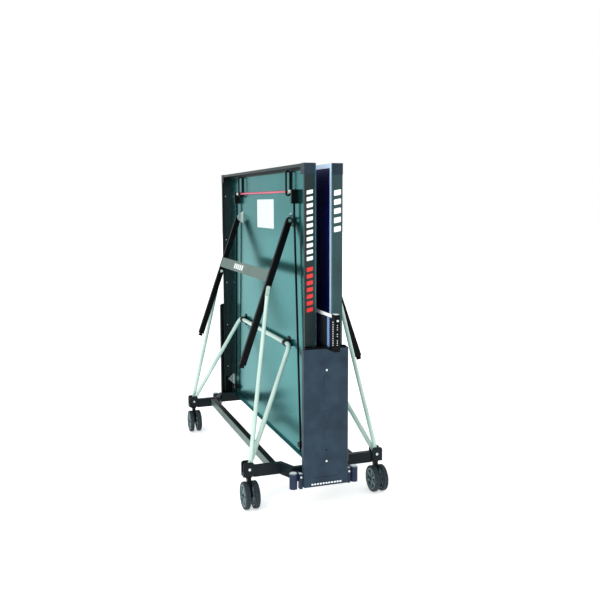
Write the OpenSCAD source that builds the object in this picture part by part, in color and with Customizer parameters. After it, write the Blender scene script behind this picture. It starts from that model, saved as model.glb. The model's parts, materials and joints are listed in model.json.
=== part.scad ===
// Folding table tennis table on four twin-wheel casters, drawn in its stored pose.
// Origin: on the floor, under the middle of the table. +Z up, +Y along the net,
// +X towards the right half. Every half is drawn as the right one and mirrored.

/* [Table halves] */
// Length of one half, from the net edge to the end line
half_l = 1370; // [1142:1:1644]
// Width of the playing surface, along the net
half_w = 1525; // [1271:1:1830]
// Height of the playing surface above the floor in play
play_h = 760; // [720:1:800]
// Thickness of the top sheet
sheet_t = 5; // [3:0.5:8]
// Depth of a half, from the playing surface to the lip of the frame
apron_h = 53.4; // [48:0.1:70]
// Wall of the folded steel frame
apron_wall = 2; // [1.5:0.1:3]
// Width of the frame's flange under the sheet
flange_w = 25; // [18:1:32]
// Width of the frame's return lip
lip_w = 14; // [8:1:22]
// Depth of the folded edge along the net
net_fold = 12; // [9:0.5:20]
// Length of a corner cap along each side
cap_l = 48; // [30:1:80]
// Wall of a corner cap
cap_t = 1.2; // [0.8:0.1:2.5]

/* [Stored pose] */
// Middle plane to the playing surface of a stored half
fold_gap = 36; // [32:0.5:60]
// Floor to the net edge of a stored half
fold_z = 195; // [185:1:240]

/* [Guide pins] */
// Net edge to the guide pin
pin_u = 45.5; // [44:0.5:60]
// Playing surface to the guide pin
pin_v = 12; // [12:0.5:20]
// Diameter of the guide pins
pin_d = 12; // [8:0.5:13]
// Thickness of the hinge plates inside the frame
hinge_plate_t = 5; // [3:0.5:8]

/* [Legs] */
// End line to the leg pivots
leg_end = 254; // [200:1:400]
// Side line to the middle of a leg
leg_side = 293.5; // [230:0.5:400]
// Playing surface to the leg pivots
leg_v = 26.5; // [24:0.5:32]
// Depth of the leg tube, in the plane in which it swings
leg_d = 30; // [24:1:34]
// Width of the leg tube, along the net
leg_w = 20; // [16:1:26]
// Wall of the leg tube
leg_wall = 2; // [1.5:0.1:3]
// Leg pivot to the stay bolt
stay_b = 333; // [310:1:400]
// Leg pivot to the middle of the crossbar
bar_s = 281; // [220:1:285]
// Width of the crossbar
bar_w = 56; // [40:1:60]
// Depth of the crossbar
bar_d = 12; // [8:1:20]
// Radius of a foot
foot_r = 12; // [9:0.5:16]
// Height of a foot below the leg tube
foot_h = 14; // [10:1:25]

/* [Braces and stays] */
// Diameter of the brace tube
brace_d = 22; // [18:0.5:23]
// Diameter of the stay tubes
stay_d = 20; // [16:0.5:21]
// Playing surface to the brace clips
clip_v = 23.3; // [22:0.1:32]
// Side line to the corners of the brace
brace_side = 302.5; // [250:0.5:420]
// Bend radius of the brace tube
brace_bend = 45; // [35:1:60]
// Width of the flattened tube ends
tongue_w = 18; // [16:1:20]
// Thickness of the flattened tube ends
tongue_t = 6; // [4:0.5:8]
// Length of the flattened tube ends
tongue_l = 46; // [42:1:60]
// Diameter of the pivot bolts
bolt_d = 10; // [6:0.5:11]
// Width of a brace clip
clip_w = 30; // [20:1:40]

/* [Chassis] */
// Middle plane to the ground pivots
block_x = 320; // [290:1:322]
// Side line to the swivel axes
block_side = 130.5; // [120:0.5:150]
// Floor to the ground pivots
ground_z = 182; // [178:1:190]
// Height of the chassis arms
arm_h = 52; // [40:1:53]
// Width of the chassis arms
arm_t = 25; // [18:0.5:26]
// Wall of the chassis tubes
arm_wall = 2; // [1.5:0.1:3]
// Floor to the underside of the arms
arm_z = 141; // [138:1:150]
// Middle plane to the bend of the arms
arm_bend_x = 166; // [158:1:172]
// Middle plane to the straight part in front of the column
arm_mid_x = 132; // [125:1:140]
// Side line to the middle of that straight part
arm_mid_side = 48; // [45:0.5:55]
// Width of the long bars
long_w = 30; // [20:1:40]
// Height of the long bars
long_h = 40; // [30:1:44]
// Middle plane to the middle of a long bar
long_x = 196; // [190:1:230]

/* [Columns] */
// Side line to the face of a column
column_gap = 2.5; // [2:0.1:6]
// Width of a column
column_w = 198; // [150:1:204]
// Depth of a column
column_d = 30; // [28:0.5:40]
// Wall of a column
column_wall = 2; // [1.5:0.1:2.2]
// Floor to the underside of a column
column_z = 122; // [119:1:130]
// Width of the side cover
cover_w = 215; // [208:1:260]
// Wall of the side cover
cover_t = 3; // [2:0.1:4]
// Floor to the underside of the side cover
cover_z = 119; // [105:1:125]
// Height of the side cover
cover_h = 631; // [560:1:636]
// Corner radius of the side cover
cover_r = 8; // [4:0.5:14]

/* [Casters] */
// Diameter of the wheels
wheel_d = 127; // [110:1:135]
// Width of one wheel
wheel_w = 23; // [16:0.5:26]
// Gap between the two wheels of a caster
wheel_gap = 22; // [18:0.5:28]
// Radius where the tyre meets the hub
hub_r = 50; // [40:0.5:52]
// Swivel axis to the wheel axle
caster_trail = 25; // [20:1:40]
// Diameter of the axles and swivel stems
axle_d = 10; // [8:0.5:12]

/* [Net] */
// Playing surface to the top of the net
net_h = 152.5; // [120:0.5:180]
// Side line to the outer face of a net post
net_reach = 162.5; // [120:0.5:200]
// Depth of the white tape along the net
tape_h = 15; // [10:0.5:20]
// Thickness of the net
net_t = 1.8; // [1:0.1:2]
// Thickness of the tape
tape_t = 3.2; // [2.2:0.1:5]
// Width of a net post, across the net
post_w = 26; // [18:1:32]
// Depth of a net post, along the net
post_d = 35; // [20:1:45]

/* [Release handle] */
// End line to the handle bar
handle_end = 118; // [100:1:150]
// Side line to the middle of a guide loop
loop_side = 325.5; // [305:0.5:420]
// Diameter of the handle bar
handle_d = 10; // [6:0.5:12]
// Diameter of the lock rods
rod_d = 10; // [6:0.5:11]
// Side line to a lock rod at the handle
rod_top_side = 237.5; // [200:0.5:270]
// Side line to a lock rod at the net edge
rod_low_side = 158.5; // [90:0.5:180]

/* [Hidden] */
$fn = 48;

// Clearances: between a shaft and its bore, between sliding faces, and for cutting through
fit = 0.05;
loose = 0.4;
eps = 1;

// A stored half: sheet, frame and edges
side_y = half_w / 2;
top_x = fold_gap;
under_x = fold_gap + sheet_t;
lip_x = fold_gap + apron_h;
end_z = fold_z + half_l;

// Guide pins, stored and in play
pin_x = fold_gap + pin_v;
pin_z = fold_z + pin_u;
net_x = pin_x - pin_u;

// Brace: the clips sit where the ground pivot is equally far in both poses
clip_x = fold_gap + clip_v;
clip_play_z = play_h - clip_v;
clip_u = (pow(block_x - net_x, 2) + pow(clip_play_z - ground_z, 2)
          - pow(block_x - clip_x, 2) - pow(fold_z - ground_z, 2))
         / (2 * (fold_z - ground_z) + 2 * (block_x - net_x));
clip_z = fold_z + clip_u;
brace_l = norm([block_x - clip_x, clip_z - ground_z]);
brace_lean = atan2(block_x - clip_x, clip_z - ground_z);
brace_y = side_y - brace_side;

// Legs: vertical in play, and stored at the lean that keeps the stay's length
leg_x = fold_gap + leg_v;
leg_z = end_z - leg_end;
leg_y = side_y - leg_side;
leg_l = play_h - leg_v;
leg_play_x = net_x + half_l - leg_end;
stay_l = norm([leg_play_x - block_x, leg_l - stay_b - ground_z]);
pivot_gap = norm([block_x - leg_x, leg_z - ground_z]);
pivot_lean = atan2(block_x - leg_x, leg_z - ground_z);
leg_lean = pivot_lean + acos((pow(stay_b, 2) + pow(pivot_gap, 2) - pow(stay_l, 2))
                             / (2 * stay_b * pivot_gap));
bolt_x = leg_x + stay_b * sin(leg_lean);
bolt_z = leg_z - stay_b * cos(leg_lean);
stay_lean = atan2(block_x - bolt_x, bolt_z - ground_z);

// Positions across the legs, along the net
leg_out = leg_y + leg_w / 2;
leg_in = leg_y - leg_w / 2;
bolt_r = bolt_d / 2;
head_r = bolt_r + 3.5;
head_h = 5;
cheek_t = 3;
washer = 1;
stay_top_y = leg_out + washer + tongue_t / 2;
stay_tube_y = leg_out + washer + stay_d / 2;

// Caster blocks: two cheeks with the brace and the stay side by side between them
block_y = side_y - block_side;
block_w = 44;
block_in_x = block_x - 23;
block_out_x = block_x + 29;
block_z = arm_z + 6;
block_floor = 19;
block_top = ground_z + 32;
cheek_w = 6;
tongue_gap = 22.5;
brace_end_y = block_y - tongue_gap / 2;
stay_end_y = block_y + tongue_gap / 2;

// Columns, arms and covers
col_y = side_y + column_gap;
col_back = col_y + column_d;
col_top = play_h - 3;
arm_mid_y = side_y - arm_mid_side;
arm_face_y = arm_mid_y + arm_t / 2;
arm_top = arm_z + arm_h;
cover_back = col_back + 2;
cover_front = cover_back + cover_t;
cover_screws = [cover_z + 115, cover_z + 535];
slide_w = 20;
slide_up = 8;
slide_down = 34;
slot_w = pin_d + 1;

// Bumpers beside the columns
bumper_r = 18;
bumper_x = 148;
bumper_y = col_y + 3;
bumper_z = 111;
bumper_h = 74;
lug_x = cover_w / 2 + 1.5;
lug_y = col_y + 22;
cap_h = 3;

// Casters
wheel_r = wheel_d / 2;
axle_r = axle_d / 2;
wheel_in = wheel_gap / 2;
wheel_out = wheel_in + wheel_w;
wheel_mid = wheel_in + wheel_w / 2;
fork_w = wheel_gap - 5;
fork_top = block_z - 0.4;
fork_disc = 8;
boss_r = 14;

// Net
net_top = play_h + net_h;
post_out = side_y + net_reach;
post_in = post_out - post_d;
post_cap = 5;
bracket_w = 30;
bracket_t = 6;
net_z = col_top + bracket_t + 0.5;

// Handle
handle_x = under_x + 14.5;
handle_z = end_z - handle_end;
loop_y = side_y - loop_side;
loop_r = 10;
loop_wire = 9;
bar_end_y = loop_y - 12;
rod_top_y = side_y - rod_top_side;
rod_low_y = side_y - rod_low_side;
rod_straight_z = handle_z - 92;
rod_low_z = fold_z + 105;
rod_end_z = fold_z + 25;
latch_z = handle_z - 57;
guide_z = fold_z + 50;

// ---------------------------------------------------------------- helpers

// The same at the far end (+Y) and, mirrored, at the near end
module ends() {
  children();
  mirror([0, 1, 0]) children();
}

// The same on the right (+X) and, mirrored, on the left
module sides() {
  children();
  mirror([1, 0, 0]) children();
}

// A box from its lowest to its highest corner
module block(low, high) {
  translate(low) cube(high - low);
}

// A round bar along Y, from y0 to y1, at x and z
module bar_y(x, z, y0, y1, r, facets = 48) {
  translate([x, y1, z]) rotate([90, 0, 0]) cylinder(r = r, h = y1 - y0, $fn = facets);
}

// A round bar along X, from x0 to x1, at y and z
module bar_x(y, z, x0, x1, r, facets = 48) {
  translate([x0, y, z]) rotate([0, 90, 0]) cylinder(r = r, h = x1 - x0, $fn = facets);
}

// A round bar from one [y, z] point to another in the plane x = 0
module rod(a, b, r) {
  d = b - a;
  translate([0, a[0], a[1]]) rotate([-atan2(d[0], d[1]), 0, 0]) cylinder(r = r, h = norm(d));
}

// A flat tube end in the plane y = const: an eye at z = 0 and a strip upwards
module tongue(y, hole_r) {
  difference() {
    union() {
      bar_y(0, 0, y - tongue_t / 2, y + tongue_t / 2, tongue_w / 2);
      block([-tongue_w / 2, y - tongue_t / 2, 0], [tongue_w / 2, y + tongue_t / 2, tongue_l]);
    }
    bar_y(0, 0, y - tongue_t, y + tongue_t, hole_r);
  }
}

// ---------------------------------------------------------------- table half

module half_top() {
  color("midnightblue") {
    block([top_x, -side_y, fold_z], [under_x, side_y, end_z]);
    block([under_x - eps, -side_y + flange_w, fold_z],
          [under_x + net_fold, side_y - flange_w, fold_z + apron_wall]);
  }
}

// Folded steel channel on the end line and both side lines
module half_frame() {
  color("darkslategray") difference() {
    block([under_x, -side_y, fold_z], [lip_x, side_y, end_z]);
    block([under_x + apron_wall, -side_y + apron_wall, fold_z - eps],
          [lip_x - apron_wall, side_y - apron_wall, end_z - apron_wall]);
    block([under_x - eps, -side_y + flange_w, fold_z - eps],
          [under_x + apron_wall + eps, side_y - flange_w, end_z - flange_w]);
    block([lip_x - apron_wall - eps, -side_y + lip_w, fold_z - eps],
          [lip_x + eps, side_y - lip_w, end_z - lip_w]);
    ends() bar_y(pin_x, pin_z, side_y - flange_w - eps, side_y + eps, pin_d / 2 + fit);
  }
}

module half_corner_caps() {
  color("darkslateblue") ends() difference() {
    block([under_x, side_y - cap_l, end_z - cap_l], [lip_x + cap_t, side_y + cap_t, end_z + cap_t]);
    block([under_x - eps, side_y - cap_l - eps, end_z - cap_l - eps], [lip_x, side_y, end_z]);
  }
}

// Hinge plates for the guide pins, leg brackets with their bolts, and lock gussets
module half_brackets() {
  color("silver") ends() {
    hinge_plate();
    leg_bracket();
    lock_gusset();
  }
}

module hinge_plate() {
  plate_y = side_y - apron_wall;
  difference() {
    block([under_x + apron_wall, plate_y - hinge_plate_t, pin_z - 40],
          [lip_x - apron_wall, plate_y, pin_z + 50]);
    bar_y(pin_x, pin_z, plate_y - hinge_plate_t - eps, plate_y + eps, pin_d / 2 + fit);
  }
}

module leg_bracket() {
  cheek_y = leg_in - 4 - cheek_t;
  foot = 34;
  block([under_x, cheek_y - 24, leg_z - foot], [under_x + cheek_t, cheek_y + cheek_t, leg_z + foot]);
  difference() {
    translate([0, cheek_y + cheek_t, 0]) rotate([90, 0, 0]) linear_extrude(cheek_t)
      polygon([[under_x, leg_z - foot], [leg_x + 8, leg_z - 12], [leg_x + 12, leg_z],
               [leg_x + 8, leg_z + 12], [under_x, leg_z + foot]]);
    bar_y(leg_x, leg_z, cheek_y - eps, cheek_y + cheek_t + eps, bolt_r);
  }
  bar_y(leg_x, leg_z, cheek_y - 1, leg_out + 2, bolt_r);
  bar_y(leg_x, leg_z, cheek_y + cheek_t, leg_in - loose, bolt_r + 3);
  bar_y(leg_x, leg_z, cheek_y - head_h, cheek_y, head_r, 6);
  bar_y(leg_x, leg_z, leg_out + loose, leg_out + head_h, head_r);
}

module lock_gusset() {
  gusset_y = side_y - 52.5;
  gusset_z = fold_z + 89;
  rise = 34;
  translate([0, gusset_y + cheek_t, gusset_z]) rotate([90, 0, 0]) linear_extrude(cheek_t)
    polygon([[under_x, -rise], [under_x + 38, 0], [under_x, rise]]);
  block([under_x, gusset_y - 14, gusset_z - rise],
        [under_x + cheek_t, gusset_y + cheek_t, gusset_z + rise]);
}

// Black guides on the underside: brace clips, rod guides and the loops of the handle
module half_tube_guides() {
  color("black") ends() {
    brace_clip();
    latch_guide();
    low_guide();
    handle_loop();
  }
}

module brace_clip() {
  y0 = brace_y - brace_bend - clip_w;
  difference() {
    union() {
      block([under_x, y0, clip_z - 16], [clip_x, y0 + clip_w, clip_z + 16]);
      bar_y(clip_x, clip_z, y0, y0 + clip_w, 16);
      block([under_x, y0, clip_z - 32], [under_x + 4, y0 + clip_w, clip_z + 32]);
    }
    bar_y(clip_x, clip_z, y0 - eps, y0 + clip_w + eps, brace_d / 2 + fit);
  }
}

// Guide of a lock rod, with an open-topped slot for the end of the handle
module latch_guide() {
  tall = 66;
  bend_z = handle_z - 7;
  slot = handle_d / 2 + 1;
  difference() {
    block([under_x, rod_top_y - 8, latch_z], [handle_x + 15, rod_top_y + 8, latch_z + tall]);
    translate([handle_x, rod_top_y, latch_z - eps]) cylinder(r = rod_d / 2 + loose, h = tall);
    translate([handle_x, rod_top_y, bend_z]) cylinder(r = rod_d / 2 + 1, h = tall);
    block([handle_x - slot, rod_top_y - 20, bend_z], [handle_x + slot, rod_top_y, bend_z + tall]);
  }
}

module low_guide() {
  tall = 20;
  difference() {
    block([under_x, rod_low_y - 15, guide_z], [handle_x + 10, rod_low_y + 15, guide_z + tall]);
    translate([handle_x, rod_low_y, guide_z - eps])
      cylinder(r = rod_d / 2 + loose, h = tall + 2 * eps);
  }
}

// Long wire loop around the end of the handle, on a strap against the sheet
module handle_loop() {
  wire = loop_wire / 2;
  low = handle_z - 8;
  high = end_z - 32.5;
  block([under_x, loop_y - 8, low - 6], [under_x + 3, loop_y + 8, high + 6]);
  for (s = [-1, 1])
    translate([handle_x + s * loop_r, loop_y, low]) cylinder(r = wire, h = high - low);
  translate([handle_x, loop_y, low]) rotate([-90, 0, 0])
    rotate_extrude(angle = 180) translate([loop_r, 0]) circle(wire);
  translate([handle_x, loop_y, high]) rotate([90, 0, 0])
    rotate_extrude(angle = 180) translate([loop_r, 0]) circle(wire);
}

// Slide blocks in the columns, each with the pin that the half hangs on
module half_slide_blocks() {
  y0 = col_y + column_wall + loose;
  y1 = col_back - column_wall - loose;
  color("dimgray") ends() {
    block([pin_x - slide_w / 2, y0, pin_z - slide_down], [pin_x + slide_w / 2, y1, pin_z]);
    block([pin_x - slide_w / 2 + 3, y0, pin_z], [pin_x + slide_w / 2 - 3, y1, pin_z + slide_up]);
    bar_y(pin_x, pin_z, side_y - apron_wall - hinge_plate_t - 4, y1, pin_d / 2);
  }
}

// ---------------------------------------------------------------- brace, legs, stays

// The knee, where the bend ends, is closed by a weld a little thicker than the tube
module half_brace() {
  run = brace_l - tongue_l + 4;
  turn = atan2(run, brace_end_y - brace_y);
  tangent = brace_bend * tan(turn / 2);
  arc_y = brace_y - tangent;
  knee = [arc_y + brace_bend * sin(turn), -brace_bend * (1 - cos(turn))];
  along = [cos(turn), -sin(turn)];
  r = brace_d / 2;
  color("gainsboro") translate([clip_x, 0, clip_z]) rotate([0, -brace_lean, 0]) {
    bar_y(0, 0, -arc_y, arc_y, r);
    ends() {
      translate([0, arc_y, -brace_bend]) rotate([0, -90, 0])
        rotate_extrude(angle = turn) translate([brace_bend, 0]) circle(r);
      rod(knee + along, [brace_end_y, -run], r);
      translate([0, knee[0] + along[0] / 2, knee[1] + along[1] / 2]) sphere(r + 0.3);
      translate([0, 0, -brace_l]) tongue(brace_end_y, bolt_r + loose);
    }
  }
}

module half_legs() {
  r = leg_d / 2;
  low = leg_l - foot_h;
  color("black") translate([leg_x, 0, leg_z]) rotate([0, -leg_lean, 0]) ends() difference() {
    union() {
      bar_y(0, 0, leg_in, leg_out, r);
      block([-r, leg_in, -low], [r, leg_out, 0]);
    }
    bar_y(0, 0, leg_in + leg_wall, leg_out - leg_wall, r - leg_wall);
    block([-r + leg_wall, leg_in + leg_wall, -low - eps], [r - leg_wall, leg_out - leg_wall, 0]);
    bar_y(0, 0, leg_in - eps, leg_out + eps, bolt_r + fit);
    bar_y(0, -stay_b, leg_in - eps, leg_out + eps, bolt_r + fit);
  }
}

module half_crossbar() {
  r = leg_d / 2;
  color("slategray") translate([leg_x, 0, leg_z]) rotate([0, -leg_lean, 0]) difference() {
    block([r - bar_d, -leg_in, -bar_s - bar_w / 2], [r, leg_in, -bar_s + bar_w / 2]);
    block([r - bar_d + leg_wall, -leg_in - eps, -bar_s - bar_w / 2 + leg_wall],
          [r - leg_wall, leg_in + eps, -bar_s + bar_w / 2 - leg_wall]);
  }
}

module half_feet() {
  r = leg_d / 2;
  low = leg_l - foot_h;
  plug = 16;
  color("dimgray") translate([leg_x, 0, leg_z]) rotate([0, -leg_lean, 0]) ends() {
    block([-r + leg_wall, leg_in + leg_wall, -low], [r - leg_wall, leg_out - leg_wall, -low + plug]);
    translate([0, leg_y, -low - 4]) cylinder(r = foot_r - 4, h = 4);
    translate([0, leg_y, -leg_l]) cylinder(r = foot_r, h = foot_h - 4);
  }
}

module half_stays() {
  color("gainsboro") translate([bolt_x, 0, bolt_z]) rotate([0, -stay_lean, 0]) ends() {
    mirror([0, 0, 1]) tongue(stay_top_y, bolt_r);
    rod([stay_tube_y, -tongue_l + 6], [stay_end_y, -stay_l + tongue_l - 4], stay_d / 2);
    translate([0, 0, -stay_l]) tongue(stay_end_y, bolt_r + loose);
    bar_y(0, 0, leg_in - head_h, stay_top_y + tongue_t / 2, bolt_r);
    bar_y(0, 0, stay_top_y + tongue_t / 2, stay_top_y + tongue_t / 2 + head_h, head_r);
    bar_y(0, 0, leg_in - head_h - 1, leg_in - loose, head_r, 6);
  }
}

// ---------------------------------------------------------------- release handle

module half_release_bar() {
  color("crimson") difference() {
    bar_y(handle_x, handle_z, -bar_end_y, bar_end_y, handle_d / 2);
    bar_y(handle_x, handle_z, -bar_end_y - eps, -bar_end_y + 30, rod_d / 2 - 1);
    bar_y(handle_x, handle_z, bar_end_y - 30, bar_end_y + eps, rod_d / 2 - 1);
  }
}

// Lock rods: across from the bar, through the guide block and down to the net edge
module half_lock_rods() {
  r = rod_d / 2;
  color("black") ends() {
    bar_y(handle_x, handle_z, bar_end_y, rod_top_y, r);
    bar_y(handle_x, handle_z, bar_end_y - 24, bar_end_y, r - 1 - fit);
    knuckle(rod_top_y, handle_z);
    translate([handle_x, 0, 0]) {
      rod([rod_top_y, rod_straight_z], [rod_top_y, handle_z], r);
      rod([rod_low_y, rod_low_z], [rod_top_y, rod_straight_z], r);
      rod([rod_low_y, rod_end_z], [rod_low_y, rod_low_z], r);
    }
    knuckle(rod_top_y, rod_straight_z);
    knuckle(rod_low_y, rod_low_z);
  }
}

// A ball a little thicker than the rod, where two runs are welded at a corner
module knuckle(y, z) {
  translate([handle_x, y, z]) sphere(rod_d / 2 + 0.5);
}

// ---------------------------------------------------------------- chassis

// Corner points of a bent arm, offset by d across its run
function arm_side(d) = let (
    turn = atan2(arm_mid_y - block_y, arm_bend_x - arm_mid_x),
    k = d * tan(turn / 2)
  ) [
    [block_in_x, block_y + d], [arm_bend_x + k, block_y + d],
    [arm_mid_x + k, arm_mid_y + d],
    [-arm_mid_x - k, arm_mid_y + d],
    [-arm_bend_x - k, block_y + d], [-block_in_x, block_y + d]
  ];

module arm_plan(t) {
  out = arm_side(t / 2);
  in = arm_side(-t / 2);
  polygon(concat(out, [for (i = [len(in) - 1 : -1 : 0]) in[i]]));
}

module far_arm() {
  color("black") {
    difference() {
      translate([0, 0, arm_z]) linear_extrude(arm_h) arm_plan(arm_t);
      translate([0, 0, arm_z + arm_wall]) linear_extrude(arm_h - 2 * arm_wall)
        arm_plan(arm_t - 2 * arm_wall);
    }
    for (x = [-75, 75]) arm_stub(x);
  }
}

// Short square tube that carries the column on the arm
module arm_stub(x) {
  half = 15;
  z0 = arm_z + 4;
  z1 = arm_top - 4;
  difference() {
    block([x - half, arm_face_y - arm_wall / 2, z0], [x + half, col_y, z1]);
    block([x - half + arm_wall, arm_face_y, z0 + arm_wall],
          [x + half - arm_wall, col_y + eps, z1 - arm_wall]);
  }
}

module near_arm() {
  mirror([0, 1, 0]) far_arm();
}

module long_bars() {
  run = block_y - arm_t / 2;
  z0 = arm_z + 9;
  color("dimgray") sides() difference() {
    block([long_x - long_w / 2, -run, z0], [long_x + long_w / 2, run, z0 + long_h]);
    block([long_x - long_w / 2 + arm_wall, -run - eps, z0 + arm_wall],
          [long_x + long_w / 2 - arm_wall, run + eps, z0 + long_h - arm_wall]);
  }
}

// Open forks for the ends of the brace and the stays, each with a swivel bore
module caster_blocks() {
  color("darkslategray") sides() ends() difference() {
    union() {
      block([block_in_x, block_y - block_w / 2, block_z],
            [block_out_x, block_y + block_w / 2, block_z + block_floor]);
      block([block_in_x, block_y - block_w / 2, block_z],
            [block_in_x + 4, block_y + block_w / 2, ground_z + 8]);
      block_cheek(block_y - block_w / 2);
      block_cheek(block_y + block_w / 2 - cheek_w);
    }
    translate([block_x, block_y, block_z - eps])
      cylinder(r = axle_r + fit, h = block_floor + 2 * eps);
    bar_y(block_x, ground_z, block_y - block_w, block_y + block_w, bolt_r);
  }
}

// One cheek of a caster block, with rounded top corners
module block_cheek(y) {
  r = 12;
  translate([0, y + cheek_w, 0]) rotate([90, 0, 0]) linear_extrude(cheek_w) {
    translate([block_in_x, block_z]) square([block_out_x - block_in_x, block_top - r - block_z]);
    translate([block_in_x + r, block_z])
      square([block_out_x - block_in_x - 2 * r, block_top - block_z]);
    for (x = [block_in_x + r, block_out_x - r]) translate([x, block_top - r]) circle(r);
  }
}

// Pivot bolts in the cheeks, screws of the side covers and of the bumpers
module chassis_bolts() {
  color("white") ends() {
    sides() {
      outer = block_y + block_w / 2;
      inner = block_y - block_w / 2;
      bar_y(block_x, ground_z, outer - cheek_w, outer, bolt_r);
      bar_y(block_x, ground_z, outer, outer + 3, head_r - 2);
      bar_y(block_x, ground_z, inner, inner + cheek_w, bolt_r);
      bar_y(block_x, ground_z, inner - 3, inner, head_r - 2, 6);
      bar_y(lug_x + 8, bumper_z + 56, lug_y, lug_y + 2.5, 5);
    }
    for (z = cover_screws) bar_y(0, z, cover_front, cover_front + 2, 5);
  }
}

// Steel channel with two open-topped slots for the guide pins
module far_column() {
  w = column_w / 2;
  base_h = 75;
  color("black") difference() {
    union() {
      block([-w, col_y, column_z], [w, col_back, col_top]);
      block([-lug_x + 1, col_y, column_z], [lug_x - 1, col_y + column_wall, column_z + base_h]);
    }
    block([-w + column_wall, col_y + column_wall, column_z - eps],
          [w - column_wall, col_back - column_wall, col_top + eps]);
    for (s = [-1, 1]) translate([s * pin_x, 0, 0]) {
      bar_y(0, pin_z, col_y - eps, col_y + column_wall + eps, slot_w / 2);
      block([-slot_w / 2, col_y - eps, pin_z], [slot_w / 2, col_y + column_wall + eps, col_top + eps]);
    }
  }
}

module near_column() {
  mirror([0, 1, 0]) far_column();
}

// Plan of a cover: half width w, from y0 to y1, its outer corners rounded
module cover_plan(w, y0, y1, r) {
  translate([-w + r, y0]) square([2 * (w - r), y1 - y0]);
  translate([-w, y0]) square([2 * w, y1 - y0 - r]);
  for (s = [-1, 1]) translate([s * (w - r), y1 - r]) circle(r);
}

// Side cover over the column, with screw bosses and a plain raised pattern
module far_side_cover() {
  w = cover_w / 2;
  relief = 1.5;
  color("steelblue") difference() {
    union() {
      translate([0, 0, cover_z]) linear_extrude(cover_h) difference() {
        cover_plan(w, col_y + 5, cover_front, cover_r);
        translate([0, -eps])
          cover_plan(w - cover_t, col_y + 5 - eps, cover_back + eps, cover_r - cover_t);
      }
      for (z = cover_screws) bar_y(0, z, col_back, cover_back + eps, 9);
      for (i = [0 : 3]) bar_pill(cover_z + 241 + 80 * i, relief);
      block([-55, cover_front - eps, cover_z + 40], [55, cover_front + relief, cover_z + 42]);
    }
    bar_y(0, cover_z + 167, cover_back - eps, cover_front + eps, 3.5);
  }
}

// One raised bar with round ends, upright on the front of the cover
module bar_pill(z, relief) {
  r = 14;
  tall = 30;
  block([-r, cover_front - eps, z - tall / 2], [r, cover_front + relief, z + tall / 2]);
  for (s = [-1, 1]) bar_y(0, z + s * tall / 2, cover_front - eps, cover_front + relief, r);
}

module near_side_cover() {
  mirror([0, 1, 0]) far_side_cover();
}

// Plastic bumper posts, screwed to the arms beside the columns
module bumpers() {
  top = bumper_z + bumper_h - cap_h;
  color("midnightblue") sides() ends() {
    translate([bumper_x, bumper_y, bumper_z]) cylinder(r = bumper_r, h = top - bumper_z);
    translate([bumper_x, bumper_y, top]) cylinder(r = bumper_r - 2, h = cap_h);
    block([lug_x, arm_face_y, arm_z + 2], [bumper_x, bumper_y, top - 4]);
    block([lug_x, bumper_y - 4, bumper_z], [lug_x + 15, lug_y, top]);
  }
}

// ---------------------------------------------------------------- net

// Posts on brackets that reach out from the tops of the columns
module net_posts() {
  color("black") ends() {
    block([-bracket_w / 2, col_y + 1, col_top], [bracket_w / 2, post_in, col_top + bracket_t]);
    block([-post_w / 2, post_in, col_top], [post_w / 2, post_out, net_top + post_cap]);
  }
}

module net() {
  color("darkblue")
    block([-net_t / 2, -post_in, net_z], [net_t / 2, post_in, net_top - tape_h]);
}

module net_tape() {
  color("white") block([-tape_t / 2, -post_in, net_top - tape_h], [tape_t / 2, post_in, net_top]);
}

// ---------------------------------------------------------------- casters

// Swivel stem, fork leg between the wheels, and the axle; the wheels trail towards -Y
module fork() {
  y = -caster_trail;
  color("black") {
    translate([0, 0, block_z - 2]) cylinder(r = axle_r, h = block_floor + 4);
    translate([0, 0, fork_top - fork_disc]) cylinder(r = 16, h = fork_disc);
    difference() {
      union() {
        translate([-fork_w / 2, 0, 0]) rotate([90, 0, 90]) linear_extrude(fork_w)
          polygon([[-14, fork_top - 2], [14, fork_top - 2], [12, fork_top - 16],
                   [y + 13, wheel_r + 4], [y - 13, wheel_r + 4]]);
        bar_x(y, wheel_r, -fork_w / 2, fork_w / 2, boss_r);
      }
      bar_x(y, wheel_r, -fork_w, fork_w, axle_r);
    }
    bar_x(y, wheel_r, -wheel_out - 1, wheel_out + 1, axle_r);
    for (s = [-1, 1]) translate([s * (wheel_out + 1.4), 0, 0]) bar_x(y, wheel_r, -1, 1, axle_r + 4);
  }
}

// Half profile of a tyre: flat bore, rounded tread
module tyre_plan() {
  r = wheel_w / 2;
  crown = r * 1.25;
  translate([hub_r, -r]) square([wheel_r - hub_r - r * 0.45, wheel_w]);
  intersection() {
    translate([wheel_r - crown, 0]) circle(crown, $fn = 96);
    translate([hub_r, -r]) square([wheel_r - hub_r, wheel_w]);
  }
}

module tyre(x) {
  color("dimgray") translate([x, -caster_trail, wheel_r]) rotate([0, 90, 0])
    rotate_extrude($fn = 96) tyre_plan();
}

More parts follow.
